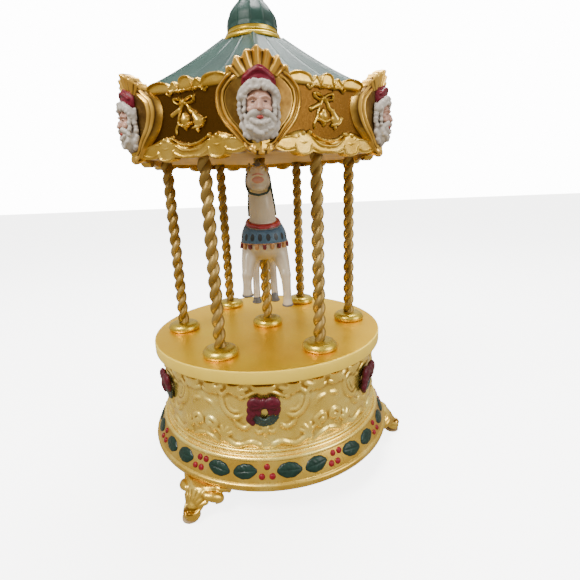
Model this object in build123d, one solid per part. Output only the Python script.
"""Musical carousel: a wind-up movement in a drum base turns a platform with six twisted posts,
a hexagonal canopy and one horse that rises and falls on the centre pole.

Millimetres, +Z up. The origin is on the turning axis, in the plane that the feet stand on.
The front is -Y, and an azimuth is counted from the front towards +X.
"""
from build123d import *
import os
from math import cos, radians, sin

# ---------------------------------------------------------------- driving dimensions
SIDES = 6                       # posts, canopy corners, wreaths
STEP = 360 / SIDES

FOOT_HEIGHT = 15.5
FOOT_AZIMUTHS = (-30, 90, 210)
FOOT_TOE_R = 82.0
FOOT_PAD_T = 1.0
FOOT_PAD_R = 4.2
FOOT_PAD_CIRCLE_R = 77.6

FLANGE_R = 70.5                 # widest ring of the base
FLANGE_T = 4.0
BAND_TOP_R = 65.5               # top of the sloped holly band
BAND_TOP_Z = 29.5
RING_TOP_Z = 31.0
RING_INNER_R = 57.0
COVER_R = 59.7
COVER_T = 2.0
COVER_SCREW_CIRCLE_R = RING_INNER_R - 3

DRUM_R = 61.5
DRUM_WALL = 3.5
DRUM_TOP_Z = 69.0

PLATFORM_R = 66.0
PLATFORM_BOTTOM_Z = 69.5
PLATFORM_TOP_Z = 76.0

POST_CIRCLE_R = 50.0
POST_R = 3.2
COLLAR_R = 9.0
COLLAR_H = 4.6

CEILING_Z = 172.0
CEILING_T = 3.0
CROWN_APOTHEM = 58.0
CROWN_WALL = 3.5
CROWN_BOTTOM_Z = 171.0
CROWN_TOP_Z = 197.0

CARTOUCHE_FACE_R = 67.5
CARTOUCHE_TOP_Z = 206.6
CARTOUCHE_TIP_Z = 168.6
CAROUSEL_TURN = 4.5             # the carousel stands turned this far on its base

ROOF_TOP_Z = 227.0
DOME_BASE_Z = 233.0
TOTAL_HEIGHT = 258.0

# movement
BEDPLATE_T = 2.5
BARREL_R = 14.3
WINDING_ARBOR_R = 2.0
BARREL_BOTTOM_Z = 22.0
CROWN_MODULE = 0.8
CROWN_TEETH = 40
CYLINDER_PINION_TEETH = 10
CYLINDER_R = 6.5
CYLINDER_X = (20.0, 41.0)
CYLINDER_GEAR_TEETH = 32
TRAIN_PINION_TEETH = 8
TRAIN_MODULE = 0.5
FAN_MODULE = 0.4
PIN_HEIGHT = 0.8
COMB_TEETH = 18

# horse lift
POLE_R = 3.3
RUNNING = 0.08                  # radial clearance of a running fit
PRESSED = 0.05                  # radial clearance of a glued or pressed joint
TUBE_R = 6.0
LIFT = 8.0                      # stroke of the horse
LIFT_PIN_Z = 60.0

# ---------------------------------------------------------------- derived
COVER_BOTTOM_Z = FOOT_HEIGHT
BEDPLATE_Z = COVER_BOTTOM_Z + COVER_T
BEDPLATE_TOP_Z = BEDPLATE_Z + BEDPLATE_T
FLANGE_TOP_Z = FOOT_HEIGHT + FLANGE_T
CROWN_PITCH_R = CROWN_MODULE * CROWN_TEETH / 2
CROWN_PITCH_Z = BARREL_BOTTOM_Z + 3.0
CYLINDER_Z = CROWN_PITCH_Z + CROWN_MODULE * CYLINDER_PINION_TEETH / 2
TRAIN_Y = -TRAIN_MODULE * (CYLINDER_GEAR_TEETH + TRAIN_PINION_TEETH) / 2
FAN_Y = TRAIN_Y - FAN_MODULE * (CYLINDER_GEAR_TEETH + TRAIN_PINION_TEETH) / 2

parts = {}


# ---------------------------------------------------------------- helpers
def around(shape, azimuth):
    """Turn a shape made at the front to an azimuth."""
    return Rot(0, 0, azimuth) * shape


def ring_of(shape, azimuths):
    """Separate copies of a shape at several azimuths, as one group."""
    return Compound(children=[around(shape, a) for a in azimuths])


def cyl(r, z0, z1, x=0.0, y=0.0):
    """An upright cylinder between two heights."""
    return Pos(x, y, (z0 + z1) / 2) * Cylinder(r, z1 - z0)


def cyl_x(r, x0, x1, y, z):
    """A cylinder along X."""
    return Pos((x0 + x1) / 2, y, z) * Rot(0, 90, 0) * Cylinder(r, x1 - x0)


def cyl_y(r, y0, y1, x, z):
    """A cylinder along Y."""
    return Pos(x, (y0 + y1) / 2, z) * Rot(90, 0, 0) * Cylinder(r, y1 - y0)


def block(x0, x1, y0, y1, z0, z1):
    """A box between two corners."""
    return Pos((x0 + x1) / 2, (y0 + y1) / 2, (z0 + z1) / 2) * Box(x1 - x0, y1 - y0, z1 - z0)


def turned(*outline):
    """A solid of revolution about Z from radius and height points, or arcs given as three points."""
    edges = []
    start = outline[0]
    for item in outline[1:]:
        if isinstance(item[0], tuple):
            edges.append(ThreePointArc((start[0], 0, start[1]), (item[0][0], 0, item[0][1]),
                                       (item[1][0], 0, item[1][1])))
            start = item[1]
        else:
            edges.append(Line((start[0], 0, start[1]), (item[0], 0, item[1])))
            start = item
    edges.append(Line((start[0], 0, start[1]), (outline[0][0], 0, outline[0][1])))
    return revolve(make_face(Wire(edges)), Axis.Z)


def hexagon(apothem, z0, z1):
    """A hexagonal prism with a corner at the front."""
    base = RegularPolygon(apothem, SIDES, major_radius=False, rotation=30)
    return Pos(0, 0, z0) * extrude(base, z1 - z0)


def hex_frustum(apothem_low, z0, apothem_high, z1):
    """A hexagonal pyramid stump with a corner at the front."""
    low = Pos(0, 0, z0) * RegularPolygon(apothem_low, SIDES, major_radius=False, rotation=30)
    high = Pos(0, 0, z1) * RegularPolygon(apothem_high, SIDES, major_radius=False, rotation=30)
    return loft([low, high])


def facing_front(outline, y_front, depth):
    """A plate facing the front: an outline of X and Z points, its face at y_front."""
    face = make_face(Polyline([(x, 0, z) for x, z in outline], close=True))
    return Pos(0, y_front, 0) * extrude(face, depth, dir=(0, 1, 0))


def spur_gear(teeth, module, width, bore=0.0):
    """A thin-toothed gear about Z, centred on its width, with a tooth centred on +X."""
    pitch_r = module * teeth / 2
    tip_r = pitch_r + 0.85 * module
    root_r = pitch_r - 1.1 * module
    pitch_angle = 360 / teeth
    points = []
    for k in range(teeth):
        for r, part in ((root_r, -0.24), (tip_r, -0.11), (tip_r, 0.11), (root_r, 0.24)):
            a = radians((k + part) * pitch_angle)
            points.append((r * cos(a), r * sin(a)))
    gear = extrude(make_face(Polyline(points, close=True)), width / 2, both=True)
    if bore:
        gear -= Cylinder(bore, 3 * width)
    return gear


def gear_on_x(teeth, module, x0, x1, y, z, turn=0.0, bore=0.0):
    """A gear on an axis along X; at turn 0 a tooth points down."""
    gear = Rot(0, 0, turn) * spur_gear(teeth, module, x1 - x0, bore)
    return Pos((x0 + x1) / 2, y, z) * Rot(0, 90, 0) * gear


def ellipsoid(rx, ry, rz):
    """An ellipsoid about the origin."""
    return scale(Sphere(1), (rx, ry, rz))


def spheroid(radius, half_length):
    """A round egg about the origin with its long axis along Y."""
    arc = EllipticalCenterArc((0, 0), radius, half_length, start_angle=-90, arc_size=180)
    return revolve(make_face(Wire([arc, Line(arc @ 1, arc @ 0)])), Axis.Y)


# ---------------------------------------------------------------- base shell
def band_r(z):
    """Radius of the sloped holly band at a height."""
    return FLANGE_R - (z - FLANGE_TOP_Z) * (FLANGE_R - BAND_TOP_R) / (BAND_TOP_Z - FLANGE_TOP_Z)


def base_ring():
    edge_mid = (FLANGE_R + 0.6, FOOT_HEIGHT + FLANGE_T / 2)
    shell = turned(
        (COVER_R + 0.2, FOOT_HEIGHT), (FLANGE_R - 1, FOOT_HEIGHT),
        (edge_mid, (FLANGE_R, FLANGE_TOP_Z)),
        (BAND_TOP_R, BAND_TOP_Z),
        ((BAND_TOP_R + 0.1, BAND_TOP_Z + 0.9), (BAND_TOP_R - 0.8, RING_TOP_Z)),
        (RING_INNER_R, RING_TOP_Z), (RING_INNER_R, BEDPLATE_Z), (COVER_R + 0.2, BEDPLATE_Z))
    boss = cyl(4, BEDPLATE_Z, BEDPLATE_Z + 10, y=-COVER_SCREW_CIRCLE_R)
    hole = cyl(1.6, BEDPLATE_Z - 5, BEDPLATE_Z + 8, y=-COVER_SCREW_CIRCLE_R)
    for azimuth in COVER_SCREW_AZIMUTHS:
        shell = (shell + around(boss, azimuth)) - around(hole, azimuth)
    return shell


COVER_SCREW_AZIMUTHS = (30, 150, 270)
BEDPLATE_SCREWS = ((-19, 16), (-19, -16), (30, -21.5))


def bottom_cover():
    plate = cyl(COVER_R, COVER_BOTTOM_Z, BEDPLATE_Z) - cyl(3.6, 0, 30)
    for azimuth in COVER_SCREW_AZIMUTHS:
        plate -= around(cyl(1.7, 0, 30, y=-COVER_SCREW_CIRCLE_R), azimuth)
    for x, y in BEDPLATE_SCREWS:
        plate -= cyl(1.3, 0, 30, x, y)
    return plate


def pan_screw(shaft_r, length):
    """A pan-head screw pointing up, the underside of its head at the origin."""
    head = Pos(0, 0, -0.75) * Cylinder(shaft_r * 1.85, 1.5)
    slot = Pos(0, 0, -1.5) * Box(shaft_r * 4, 0.6, 1.2)
    return (head - slot) + Pos(0, 0, length / 2) * Cylinder(shaft_r, length)


def foot():
    """A cabriole foot at the front, its toe on a felt pad."""
    knee_z = FOOT_HEIGHT - 3.0
    outline = [Line((0, -56, FOOT_HEIGHT), (0, -71, FOOT_HEIGHT)),
               ThreePointArc((0, -71, FOOT_HEIGHT), (0, -76.3, knee_z), (0, -77.8, 7)),
               ThreePointArc((0, -77.8, 7), (0, -79.3, 3.2), (0, -FOOT_TOE_R, FOOT_PAD_T)),
               Line((0, -FOOT_TOE_R, FOOT_PAD_T), (0, -73.5, FOOT_PAD_T)),
               ThreePointArc((0, -73.5, FOOT_PAD_T), (0, -69.5, 7), (0, -56, 11)),
               Line((0, -56, 11), (0, -56, FOOT_HEIGHT))]
    side = extrude(make_face(Wire(outline)), 12, both=True, dir=(1, 0, 0))
    plan = make_face(Polyline([(-11.5, -50), (-11.5, -71), (-6, -FOOT_TOE_R - 1),
                               (6, -FOOT_TOE_R - 1), (11.5, -71), (11.5, -50)], close=True))
    return side & extrude(plan, FOOT_HEIGHT + 1)


def drum_shell():
    return turned(
        (DRUM_R - DRUM_WALL, RING_TOP_Z), (DRUM_R + 1.3, RING_TOP_Z),
        (DRUM_R + 1.3, RING_TOP_Z + 1.4), (DRUM_R, RING_TOP_Z + 2.2),
        (DRUM_R, DRUM_TOP_Z - 2.2), (DRUM_R + 1.5, DRUM_TOP_Z - 1.4),
        (DRUM_R + 1.5, DRUM_TOP_Z), (DRUM_R - DRUM_WALL, DRUM_TOP_Z))


# ---------------------------------------------------------------- base ornament
LEAF_L = 9.6
LEAF_W = 6.6
LEAF_T = 0.9
BERRY_R = 1.35
BAND_MID_Z = (FLANGE_TOP_Z + BAND_TOP_Z) / 2
LEAF_OFFSETS = (9.0, 20.5, 39.5, 51.0)


def holly_leaf(tilt):
    """A pointed leaf lying on the band at the front, tilted in its own plane."""
    plane = Plane((0, -band_r(BAND_MID_Z), BAND_MID_Z), x_dir=(1, 0, 0),
                  z_dir=(0, -(BAND_TOP_Z - FLANGE_TOP_Z), FLANGE_R - BAND_TOP_R))
    half_l = LEAF_L / 2
    half_w = LEAF_W / 2
    corner = 0.62
    outline = Polyline([(-half_l, 0), (-half_l * corner, half_w * 0.6), (-0.8, half_w),
                        (half_l * corner, half_w * 0.7), (half_l, 0), (half_l * corner, -half_w * 0.7),
                        (-0.8, -half_w), (-half_l * corner, -half_w * 0.6)], close=True)
    leaf = plane * Rot(0, 0, tilt) * extrude(make_face(outline), LEAF_T, both=True)
    return leaf - band_solid()


def band_solid():
    """The ground that leaves and berries are set on."""
    return turned((0.01, FOOT_HEIGHT), (FLANGE_R, FOOT_HEIGHT), (FLANGE_R, FLANGE_TOP_Z),
                  (BAND_TOP_R, BAND_TOP_Z), (0.01, BAND_TOP_Z))


def holly_leaves():
    made = {tilt: holly_leaf(tilt) for tilt in (-12, 12)}
    leaves = []
    for side in range(SIDES):
        for n, offset in enumerate(LEAF_OFFSETS):
            tilt = 12 if n % 2 else -12
            leaves.append(around(made[tilt], side * STEP + offset))
    return Compound(children=leaves)


def berry(z):
    """A berry on the band at the front."""
    lift = 0.5
    ball = Pos(0, -band_r(z) - lift, z + lift / 2) * Sphere(BERRY_R)
    return ball - band_solid()


def holly_berries():
    high = berry(BAND_MID_Z + 1.5)
    low = berry(BAND_MID_Z - 1.5)
    group = []
    for side in range(SIDES):
        front = side * STEP
        between = front + STEP / 2
        group += [around(high, front), around(low, front - 1.4), around(low, front + 1.4)]
        group += [around(high, between - 0.6), around(high, between + 2.2)]
        group += [around(low, between - 2.2), around(low, between + 0.6)]
    return Compound(children=group)


WREATH_Z = 53.0
WREATH_R = 6.6
WREATH_FRONT_R = 64.4


def wreath():
    disc = cyl_y(WREATH_R, -WREATH_FRONT_R, -DRUM_R + 3, 0, WREATH_Z)
    gap = cyl_y(2.4, -WREATH_FRONT_R - 1, -DRUM_R + 4, 0, WREATH_Z)
    return disc - gap - cyl(DRUM_R, 0, 100)


def wreath_bow():
    """A bow with two loops and two tails on the wreath's front."""
    half = [(0.9, 0.9), (2.4, 3.6), (6.6, 5.0), (7.8, 2.0), (5.4, -0.6), (2.2, -0.4),
            (5.2, -4.6), (3.0, -6.6), (0.5, -1.4)]
    outline = half + [(-x, z) for x, z in reversed(half)]
    return facing_front([(x, z + WREATH_Z + 1.0) for x, z in outline], -WREATH_FRONT_R - 1.5, 1.5)


# ---------------------------------------------------------------- movement
def bedplate():
    plate = block(-26, 50.5, -26, 33, BEDPLATE_Z, BEDPLATE_TOP_Z) & cyl(53, 0, 100)
    plate -= cyl(WINDING_ARBOR_R + RUNNING, 0, 100)
    for x, y in BEDPLATE_SCREWS:
        plate -= cyl(1.3, 0, 100, x, y)
    return plate


COMB_SCREWS = ((24.5, 25.5), (36.5, 25.5))
COMB_Z = CYLINDER_Z - 0.6
COMB_TIP_Y = CYLINDER_R + PIN_HEIGHT + 0.35


def comb_base():
    rail = block(18.5, 42.5, 20, 31, BEDPLATE_TOP_Z, COMB_Z)
    for x, y in COMB_SCREWS:
        rail -= cyl(1.3, COMB_Z - 6, 100, x, y)
    return rail


def comb():
    """A steel plate whose teeth get longer towards the bass end."""
    plate = block(19, 42, 20, 30.5, COMB_Z, COMB_Z + 1.2)
    pitch = (CYLINDER_X[1] - CYLINDER_X[0] - 1) / COMB_TEETH
    for n in range(COMB_TEETH):
        x = CYLINDER_X[0] + 0.5 + (n + 0.5) * pitch
        root = 22.5 - 0.22 * n
        tooth = block(x - 0.42, x + 0.42, COMB_TIP_Y, 20.2, COMB_Z, COMB_Z + 1.2)
        plate = plate + tooth
        if root > 20.2:
            plate -= block(x + 0.42, x + pitch - 0.42, 19, root, 0, 100)
    for x, y in COMB_SCREWS:
        plate -= cyl(1.35, 0, 100, x, y)
    return plate


def movement_screws():
    """Two comb screws from above and three bedplate screws from below."""
    down = Rot(180, 0, 0) * pan_screw(1.25, 5)
    group = [Pos(x, y, COMB_Z + 1.2) * down for x, y in COMB_SCREWS]
    group += [Pos(x, y, COVER_BOTTOM_Z) * pan_screw(1.25, 4.5) for x, y in BEDPLATE_SCREWS]
    return Compound(children=group)


TRAIN_ARBOR_R = 1.0
CYLINDER_ARBOR_R = 1.3


def cylinder_brackets():
    """The inner and outer plates that hold the cylinder and the governor train."""
    top = CYLINDER_Z + 4
    inner = block(17.8, 19.2, -4, 4, BEDPLATE_TOP_Z, top)
    inner += block(17.8, 19.2, -9, 9, BEDPLATE_TOP_Z, BEDPLATE_TOP_Z + 1.6)
    outer = block(47, 48.6, -21, 5, BEDPLATE_TOP_Z, top)
    bore = cyl_x(CYLINDER_ARBOR_R + RUNNING, 10, 60, 0, CYLINDER_Z)
    outer -= cyl_x(TRAIN_ARBOR_R + RUNNING, 40, 60, TRAIN_Y, CYLINDER_Z)
    outer -= cyl_x(TRAIN_ARBOR_R + RUNNING, 40, 60, FAN_Y, CYLINDER_Z)
    return Compound(children=[inner - bore, outer - bore])


def governor_plate():
    plate = block(34.6, 36, -21, -8.3, BEDPLATE_TOP_Z, CYLINDER_Z + 4)
    for y in (TRAIN_Y, FAN_Y):
        plate -= cyl_x(TRAIN_ARBOR_R + RUNNING, 30, 40, y, CYLINDER_Z)
    return plate


def pin_cylinder():
    """The pinned cylinder on its arbor. Each comb tooth has a track of pins."""
    x0, x1 = CYLINDER_X
    body = cyl_x(CYLINDER_R, x0, x1, 0, CYLINDER_Z)
    body += cyl_x(CYLINDER_ARBOR_R, 14.9, 49.4, 0, CYLINDER_Z)
    pitch = (x1 - x0 - 1) / COMB_TEETH
    pin = Pos(0, 0, CYLINDER_R + PIN_HEIGHT / 2 - 0.5) * Cylinder(0.2, PIN_HEIGHT + 1)
    pins = []
    for n in range(COMB_TEETH):
        x = x0 + 0.5 + (n + 0.5) * pitch
        for m in range(4):
            angle = 8 + 47 * n + m * 90 + 13 * (n * m % 3)
            pins.append(Pos(x, 0, CYLINDER_Z) * Rot(angle, 0, 0) * pin)
    return body + pins


def cylinder_pinion():
    x0 = CROWN_PITCH_R - 0.8
    return gear_on_x(CYLINDER_PINION_TEETH, CROWN_MODULE, x0, x0 + 2.1, 0, CYLINDER_Z,
                     bore=CYLINDER_ARBOR_R)


def cylinder_gear():
    return gear_on_x(CYLINDER_GEAR_TEETH, TRAIN_MODULE, 42, 43.5, 0, CYLINDER_Z,
                     bore=CYLINDER_ARBOR_R)


def governor_wheel():
    """Intermediate arbor: a pinion driven by the cylinder gear and a wheel that drives the fan."""
    half_tooth = 180 / TRAIN_PINION_TEETH
    arbor = cyl_x(TRAIN_ARBOR_R, 33.6, 49.4, TRAIN_Y, CYLINDER_Z)
    pinion = gear_on_x(TRAIN_PINION_TEETH, TRAIN_MODULE, 41.8, 43.7, TRAIN_Y, CYLINDER_Z, half_tooth)
    wheel = gear_on_x(CYLINDER_GEAR_TEETH, FAN_MODULE, 44.7, 45.8, TRAIN_Y, CYLINDER_Z)
    return arbor + pinion + wheel


def air_brake():
    """Fan arbor with its pinion and two blades."""
    half_tooth = 180 / TRAIN_PINION_TEETH
    arbor = cyl_x(TRAIN_ARBOR_R, 33.6, 49.4, FAN_Y, CYLINDER_Z)
    pinion = gear_on_x(TRAIN_PINION_TEETH, FAN_MODULE, 44.6, 45.9, FAN_Y, CYLINDER_Z, half_tooth)
    blades = block(37.5, 42, FAN_Y - 0.3, FAN_Y + 0.3, CYLINDER_Z - 5.2, CYLINDER_Z + 5.2)
    return arbor + pinion + blades


RATCHET_TEETH = 12
RATCHET_Z = (BEDPLATE_TOP_Z + 0.2, BEDPLATE_TOP_Z + 1.6)


def winding_key():
    """A folded-wing key below the cover, screwed on the arbor."""
    wing = [(1.5, 9), (5, 10.6), (10.5, 11), (13, 8.6), (13, 5.2), (10.5, 2.8), (5, 3.2), (1.5, 4.8)]
    right = facing_front(wing, -0.9, 1.8) - facing_front(
        [(6, 8.6), (9.6, 9), (11, 7.4), (11, 6.2), (9.6, 4.8), (6, 5.2)], -2, 4)
    hub = cyl(3, 3.4, 14.6)
    return hub + right + Rot(0, 0, 180) * right - cyl(WINDING_ARBOR_R, 6, 40)


def winding_arbor():
    return cyl(WINDING_ARBOR_R, 6, 24) + cyl(WINDING_ARBOR_R + 0.8, 24, 33.4)


def ratchet_wheel():
    points = []
    for k in range(RATCHET_TEETH):
        a = radians(k * 360 / RATCHET_TEETH)
        b = radians((k + 0.92) * 360 / RATCHET_TEETH)
        points += [(5.2 * cos(a), 5.2 * sin(a)), (6.5 * cos(b), 6.5 * sin(b))]
    wheel = extrude(make_face(Polyline(points, close=True)), RATCHET_Z[1] - RATCHET_Z[0])
    return Pos(0, 0, RATCHET_Z[0]) * wheel - cyl(WINDING_ARBOR_R, 0, 100)


def click():
    """The pawl that stops the key turning back, on its pivot post."""
    arm = make_face(Polyline([(-6.75, 0.1), (-13, -4.4), (-16.5, -4.4), (-16.5, -1.6), (-13, -1.2),
                              (-6.85, 0.9)], close=True))
    pawl = Pos(0, 0, RATCHET_Z[0]) * extrude(arm, RATCHET_Z[1] - RATCHET_Z[0])
    post = cyl(1.1, BEDPLATE_TOP_Z, RATCHET_Z[1] + 0.2, -14.8, -3)
    return pawl + post


def spring_barrel():
    """The mainspring's barrel with the crown wheel on its lower rim."""
    body = cyl(CROWN_PITCH_R + 1, BARREL_BOTTOM_Z, BARREL_BOTTOM_Z + 2)
    body += cyl(BARREL_R, BARREL_BOTTOM_Z, 34)
    body -= cyl(BARREL_R - 1, BARREL_BOTTOM_Z + 1.6, 40)
    body -= cyl(WINDING_ARBOR_R + RUNNING, 0, 100)
    base = CROWN_PITCH_Z - 1.0
    tip = CROWN_PITCH_Z + 0.68
    outline = [(-0.6, base - 0.2), (-0.6, base), (-0.27, tip), (0.27, tip), (0.6, base), (0.6, base - 0.2)]
    tooth = facing_front(outline, -CROWN_PITCH_R - 1, 2.0)
    pitch_angle = 360 / CROWN_TEETH
    return body + [around(tooth, (k + 0.5) * pitch_angle) for k in range(CROWN_TEETH)]


def barrel_cover():
    return cyl(BARREL_R, 34, 36.5)


def mainspring():
    """A spiral strip of half circles about two centres, inside the barrel."""
    turn_pitch = 1.5
    strip = 0.45
    r = 3.3
    inner = []
    outer = []
    side = 1
    for half in range(12):
        centre = 0.0 if side > 0 else turn_pitch / 2
        for chain, radius in ((inner, r), (outer, r + strip)):
            chain.append(ThreePointArc((centre + side * radius, 0), (centre, side * radius),
                                       (centre - side * radius, 0)))
        r += turn_pitch / 2
        side = -side
    caps = [Line(inner[0] @ 0, outer[0] @ 0), Line(inner[-1] @ 1, outer[-1] @ 1)]
    face = make_face(Wire(inner + outer + caps))
    return Pos(0, 0, 24.2) * extrude(face, 9)


# ---------------------------------------------------------------- lift
BRIDGE_Z = 38.5
BRIDGE_T = 2.0
BRIDGE_LEG_ANGLES = (108, 180, 252)
CAM_R = (8.6, 12.5)


def cam_bridge():
    """A plate on three legs that carries the upper bush and the lift cam over the barrel."""
    plate = cyl(23, BRIDGE_Z, BRIDGE_Z + BRIDGE_T)
    plate -= block(13.5, 30, -30, 30, 0, 100)
    plate -= cyl(8.05, 0, 100)
    for angle in BRIDGE_LEG_ANGLES:
        x = 20.5 * cos(radians(angle))
        y = 20.5 * sin(radians(angle))
        plate += cyl(1.9, BEDPLATE_TOP_Z, BRIDGE_Z + 0.5, x, y)
    return plate


def upper_bush():
    return cyl(8, BRIDGE_Z, BRIDGE_Z + BRIDGE_T + 1) - cyl(TUBE_R + RUNNING, 0, 100)


def lift_cam():
    """A two-lobed face cam. Its lobes stand along X."""
    low_z = BRIDGE_Z + BRIDGE_T
    ring = cyl(CAM_R[1], low_z, 49.6) - cyl(CAM_R[0], 0, 100)
    valley = extrude(Ellipse(12.8, 18.7), 20, both=True)
    return ring - Pos(0, 0, low_z + 1 + 18.7) * Rot(90, 0, 0) * valley


def drive_tube():
    """The slotted tube that turns with the barrel, drives the platform and guides the pole."""
    tube = cyl(TUBE_R, 36.5, PLATFORM_TOP_Z) + cyl(10, 36.5, 38) + cyl(14, 66.5, PLATFORM_BOTTOM_Z)
    tube -= cyl(POLE_R + RUNNING, 38, 100)
    slot_low = LIFT_PIN_Z - LIFT - 1.6
    return tube - block(-10, 10, -1.35, 1.35, slot_low, LIFT_PIN_Z + 1.6)


# ---------------------------------------------------------------- turning frame
def platform():
    disc = turned((TUBE_R + PRESSED, PLATFORM_BOTTOM_Z), (PLATFORM_R - 0.8, PLATFORM_BOTTOM_Z),
                  (PLATFORM_R, PLATFORM_BOTTOM_Z + 0.8), (PLATFORM_R, PLATFORM_TOP_Z - 1),
                  (PLATFORM_R - 1, PLATFORM_TOP_Z), (TUBE_R + PRESSED, PLATFORM_TOP_Z))
    socket = cyl(POST_R + PRESSED, PLATFORM_TOP_Z - 3, 100, y=-POST_CIRCLE_R)
    for azimuth in POST_AZIMUTHS:
        disc -= around(socket, azimuth)
    return disc


POST_AZIMUTHS = [STEP / 2 + STEP * k for k in range(SIDES)]
CORNER_AZIMUTHS = [STEP * k for k in range(SIDES)]


def post():
    return cyl(POST_R, PLATFORM_TOP_Z - 3, CEILING_Z + 2, y=-POST_CIRCLE_R)


def collar(bore):
    """A bun-shaped foot for a post, about the axis."""
    base = PLATFORM_TOP_Z
    top = base + COLLAR_H
    return turned((bore, base), (COLLAR_R - 0.7, base),
                  ((COLLAR_R, base + 1.6), (COLLAR_R - 0.8, base + 3.3)),
                  ((COLLAR_R - 1.9, top - 0.2), (COLLAR_R - 3.4, top)), (bore, top))


def post_collars():
    at_post = Pos(0, -POST_CIRCLE_R, 0) * collar(POST_R + PRESSED)
    group = [around(at_post, azimuth) for azimuth in POST_AZIMUTHS]
    return Compound(children=group + [collar(POLE_R + 0.4)])


def ceiling_plate():
    plate = hexagon(CROWN_APOTHEM - CROWN_WALL, CEILING_Z, CEILING_Z + CEILING_T)
    plate -= cyl(POLE_R + RUNNING, 0, 300)
    for azimuth in POST_AZIMUTHS:
        plate -= around(cyl(POST_R + PRESSED, 100, CEILING_Z + 2, y=-POST_CIRCLE_R), azimuth)
    return plate


def canopy_crown():
    """The six-sided frieze with its cornice."""
    wall = hexagon(CROWN_APOTHEM, CROWN_BOTTOM_Z, CROWN_TOP_Z)
    wall += hexagon(CROWN_APOTHEM + 1.6, CROWN_TOP_Z - 3, CROWN_TOP_Z)
    return wall - hexagon(CROWN_APOTHEM - CROWN_WALL, 0, 300)


def cartouche():
    """An egg-shaped shield with a fan crest, over the front corner of the canopy."""
    half = [(5.2, 170.6), (9.8, 176.8), (13.6, 181.9), (15.5, 188.0), (14.9, 193.4), (12.5, 199.0),
            (10.0, 202.4), (6.2, 204.6), (2.5, 206.4)]
    outline = [(0, CARTOUCHE_TIP_Z)] + half + [(0, CARTOUCHE_TOP_Z)] + [(-x, z) for x, z in reversed(half)]
    shield = facing_front(outline, -CARTOUCHE_FACE_R, 14)
    shield -= hexagon(CROWN_APOTHEM, 0, CROWN_TOP_Z - 3)
    shield -= hexagon(CROWN_APOTHEM + 1.6, CROWN_TOP_Z - 3, CROWN_TOP_Z)
    return shield - hexagon(CROWN_APOTHEM - 1, CROWN_TOP_Z, 300)


HEAD_Z = 188.0


def bearded_head():
    """The bust on a cartouche: a cap, a face and a beard, as one rounded relief."""
    crown = Pos(0, -CARTOUCHE_FACE_R, HEAD_Z + 2) * ellipsoid(7.8, 5.2, 9.8)
    beard = Pos(0, -CARTOUCHE_FACE_R, HEAD_Z - 6) * ellipsoid(7.0, 4.0, 8.8)
    bust = (crown + beard) & block(-20, 20, -100, -CARTOUCHE_FACE_R, 100, 300)
    return bust - hexagon(CROWN_APOTHEM + 1.6, CROWN_TOP_Z - 3, CROWN_TOP_Z)


def panel_ornaments():
    """A bow with two bells at the middle of each side."""
    y = -CROWN_APOTHEM - 1.4
    half = [(0.9, 188.8), (3, 191.5), (7.2, 192.2), (8.4, 189.4), (6, 186.8), (3.2, 186.8), (6.4, 181.6),
            (6.4, 178.2), (2.4, 177.6), (1.0, 182.0)]
    outline = half + [(-x, z) for x, z in reversed(half)]
    bow = facing_front(outline, y, 1.4)
    return ring_of(bow, POST_AZIMUTHS)


def roof():
    """A shallow six-sided shell roof inside the crests, with a flat seat for the ring on top."""
    eave = CROWN_APOTHEM - 1.5
    outer = hex_frustum(eave, CROWN_TOP_Z, 15, ROOF_TOP_Z)
    inner = hex_frustum(eave - 4, CROWN_TOP_Z - 0.01, 11, ROOF_TOP_Z - 3)
    return outer - inner


def roof_ring():
    return turned((0.01, ROOF_TOP_Z), (13.8, ROOF_TOP_Z), ((15.2, ROOF_TOP_Z + 1.6), (13.8, ROOF_TOP_Z + 3.2)),
                  (12.6, ROOF_TOP_Z + 3.6), (12.6, DOME_BASE_Z), (0.01, DOME_BASE_Z))


def dome():
    top = DOME_BASE_Z + 15
    return turned((0.01, DOME_BASE_Z), (13.0, DOME_BASE_Z),
                  ((12.4, DOME_BASE_Z + 6), (8.6, DOME_BASE_Z + 10.5)), (6.0, top), (0.01, top))


def finial():
    low = DOME_BASE_Z + 15
    return turned((0.01, low), (4.6, low), (4.6, low + 1.4), (2.2, low + 2.0),
                  ((3.9, low + 4.8), (1.6, low + 7.6)), (0.7, TOTAL_HEIGHT), (0.01, TOTAL_HEIGHT))


# ---------------------------------------------------------------- horse
POLE_TOP_Z = 187.0
POLE_BOTTOM_Z = 55.0


def limb(*stations):
    """A chain of tapered round links through (x, y, z, radius) stations."""
    solid = None
    for (xa, ya, za, ra), (xb, yb, zb, rb) in zip(stations, stations[1:]):
        start = Vector(xa, ya, za)
        end = Vector(xb, yb, zb)
        along = (end - start).normalized()
        link = loft([Plane(start, z_dir=along) * Circle(ra), Plane(end, z_dir=along) * Circle(rb)])
        link += Pos(*end) * Sphere(rb * 1.05)
        solid = link if solid is None else solid + link
    return solid


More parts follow.
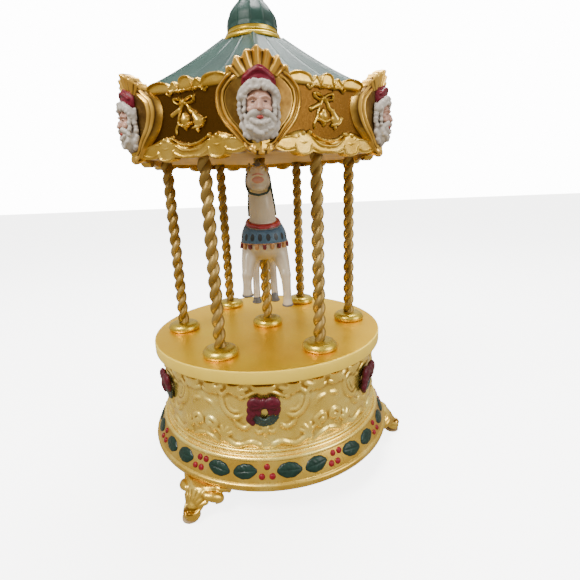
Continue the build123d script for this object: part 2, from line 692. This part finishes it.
def horse():
    """A leaping horse that faces the front with its head thrown up, threaded on the pole."""
    solid = Pos(0, 6, 128.5) * Rot(4, 0, 0) * spheroid(10.8, 26.0)
    solid += Pos(0, -12.5, 129) * Sphere(12.0)
    solid += limb((0, -12, 134, 10.0), (0, -15, 145, 7.6), (0, -15.5, 157, 6.4))
    solid += limb((0, -13, 160, 6.6), (0, -25, 161.0, 6.0), (0, -32, 163.2, 4.2))
    for side, hoof_z, spread in ((-1, 106, 10.4), (1, 100.6, 10.4)):
        solid += limb((side * 7.4, -14, 122, 6.0), (side * 9.4, -23, hoof_z + 10, 3.4),
                      (side * spread, -21, hoof_z, 3.0))
        solid += limb((side * 5.6, 23, 125, 7.6), (side * 6.8, 29, 110, 4.4),
                      (side * 7.6, 34, 100, 2.8), (side * 7.8, 29, 89.6, 3.1))
    solid += limb((0, 29, 134, 3.4), (0, 37, 128, 4.6), (0, 41, 112, 2.6))
    return solid - cyl(POLE_R, 0, 300)


def horse_tack(wearer):
    """Saddle with its cloth over the trunk, and the fringed breast collar."""
    pad = Pos(0, 5, 130.0) * Rot(4, 0, 0) * spheroid(12.4, 13.5)
    strap = Pos(0, -12.5, 129) * Sphere(13.2) & block(-20, 20, -40, 10, 128.5, 137)
    shell = pad + strap - wearer - cyl(POLE_R, 0, 300)
    return Compound(children=[solid for solid in shell.solids() if solid.volume > 5])


def centre_pole():
    return cyl(POLE_R, POLE_BOTTOM_Z, POLE_TOP_Z) - cyl_x(1.2, -20, 20, 0, LIFT_PIN_Z)


def lift_pin():
    return cyl_x(1.2, -12.3, 12.3, 0, LIFT_PIN_Z)


# ---------------------------------------------------------------- assembly
parts["base_ring"] = base_ring()
parts["bottom_cover"] = bottom_cover()
cover_screw = Pos(0, -COVER_SCREW_CIRCLE_R, COVER_BOTTOM_Z) * pan_screw(1.5, 8)
parts["cover_screws"] = ring_of(cover_screw, COVER_SCREW_AZIMUTHS)
for number, azimuth in enumerate(FOOT_AZIMUTHS, 1):
    parts[f"foot_{number}"] = around(foot(), azimuth)
parts["foot_pads"] = ring_of(cyl(FOOT_PAD_R, 0, FOOT_PAD_T, y=-FOOT_PAD_CIRCLE_R), FOOT_AZIMUTHS)
parts["drum_shell"] = drum_shell()
parts["holly_leaves"] = holly_leaves()
parts["holly_berries"] = holly_berries()
parts["wreaths"] = ring_of(wreath(), CORNER_AZIMUTHS)
parts["wreath_bows"] = ring_of(wreath_bow(), CORNER_AZIMUTHS)

parts["bedplate"] = bedplate()
parts["comb_base"] = comb_base()
parts["comb"] = comb()
parts["movement_screws"] = movement_screws()
parts["cylinder_brackets"] = cylinder_brackets()
parts["governor_plate"] = governor_plate()
parts["cam_bridge"] = cam_bridge()
parts["upper_bush"] = upper_bush()
parts["lift_cam"] = lift_cam()
parts["click"] = click()

parts["pin_cylinder"] = pin_cylinder()
parts["cylinder_pinion"] = cylinder_pinion()
parts["cylinder_gear"] = cylinder_gear()
parts["governor_wheel"] = governor_wheel()
parts["air_brake"] = air_brake()
parts["winding_key"] = winding_key()
parts["winding_arbor"] = winding_arbor()
parts["ratchet_wheel"] = ratchet_wheel()

parts["spring_barrel"] = spring_barrel()
parts["barrel_cover"] = barrel_cover()
parts["mainspring"] = mainspring()
parts["drive_tube"] = drive_tube()
parts["platform"] = platform()
for number, azimuth in enumerate(POST_AZIMUTHS, 1):
    parts[f"post_{number}"] = around(post(), azimuth)
parts["post_collars"] = post_collars()
parts["ceiling_plate"] = ceiling_plate()
parts["canopy_crown"] = canopy_crown()
parts["panel_ornaments"] = panel_ornaments()
for number, azimuth in enumerate(CORNER_AZIMUTHS, 1):
    parts[f"cartouche_{number}"] = around(cartouche(), azimuth)
parts["bearded_heads"] = ring_of(bearded_head(), CORNER_AZIMUTHS)
parts["roof"] = roof()
parts["roof_ring"] = roof_ring()
parts["dome"] = dome()
parts["finial"] = finial()

parts["centre_pole"] = centre_pole()
parts["horse"] = horse()
parts["horse_tack"] = horse_tack(parts["horse"])
parts["lift_pin"] = lift_pin()

for name in ("platform", "post_collars", "ceiling_plate", "canopy_crown", "panel_ornaments", "bearded_heads",
             "roof", "horse", "horse_tack", *(f"post_{n}" for n in range(1, SIDES + 1)),
             *(f"cartouche_{n}" for n in range(1, SIDES + 1))):
    parts[name] = around(parts[name], CAROUSEL_TURN)

os.makedirs("parts", exist_ok=True)
for name, shape in parts.items():
    export_step(shape, f"parts/{name}.step")
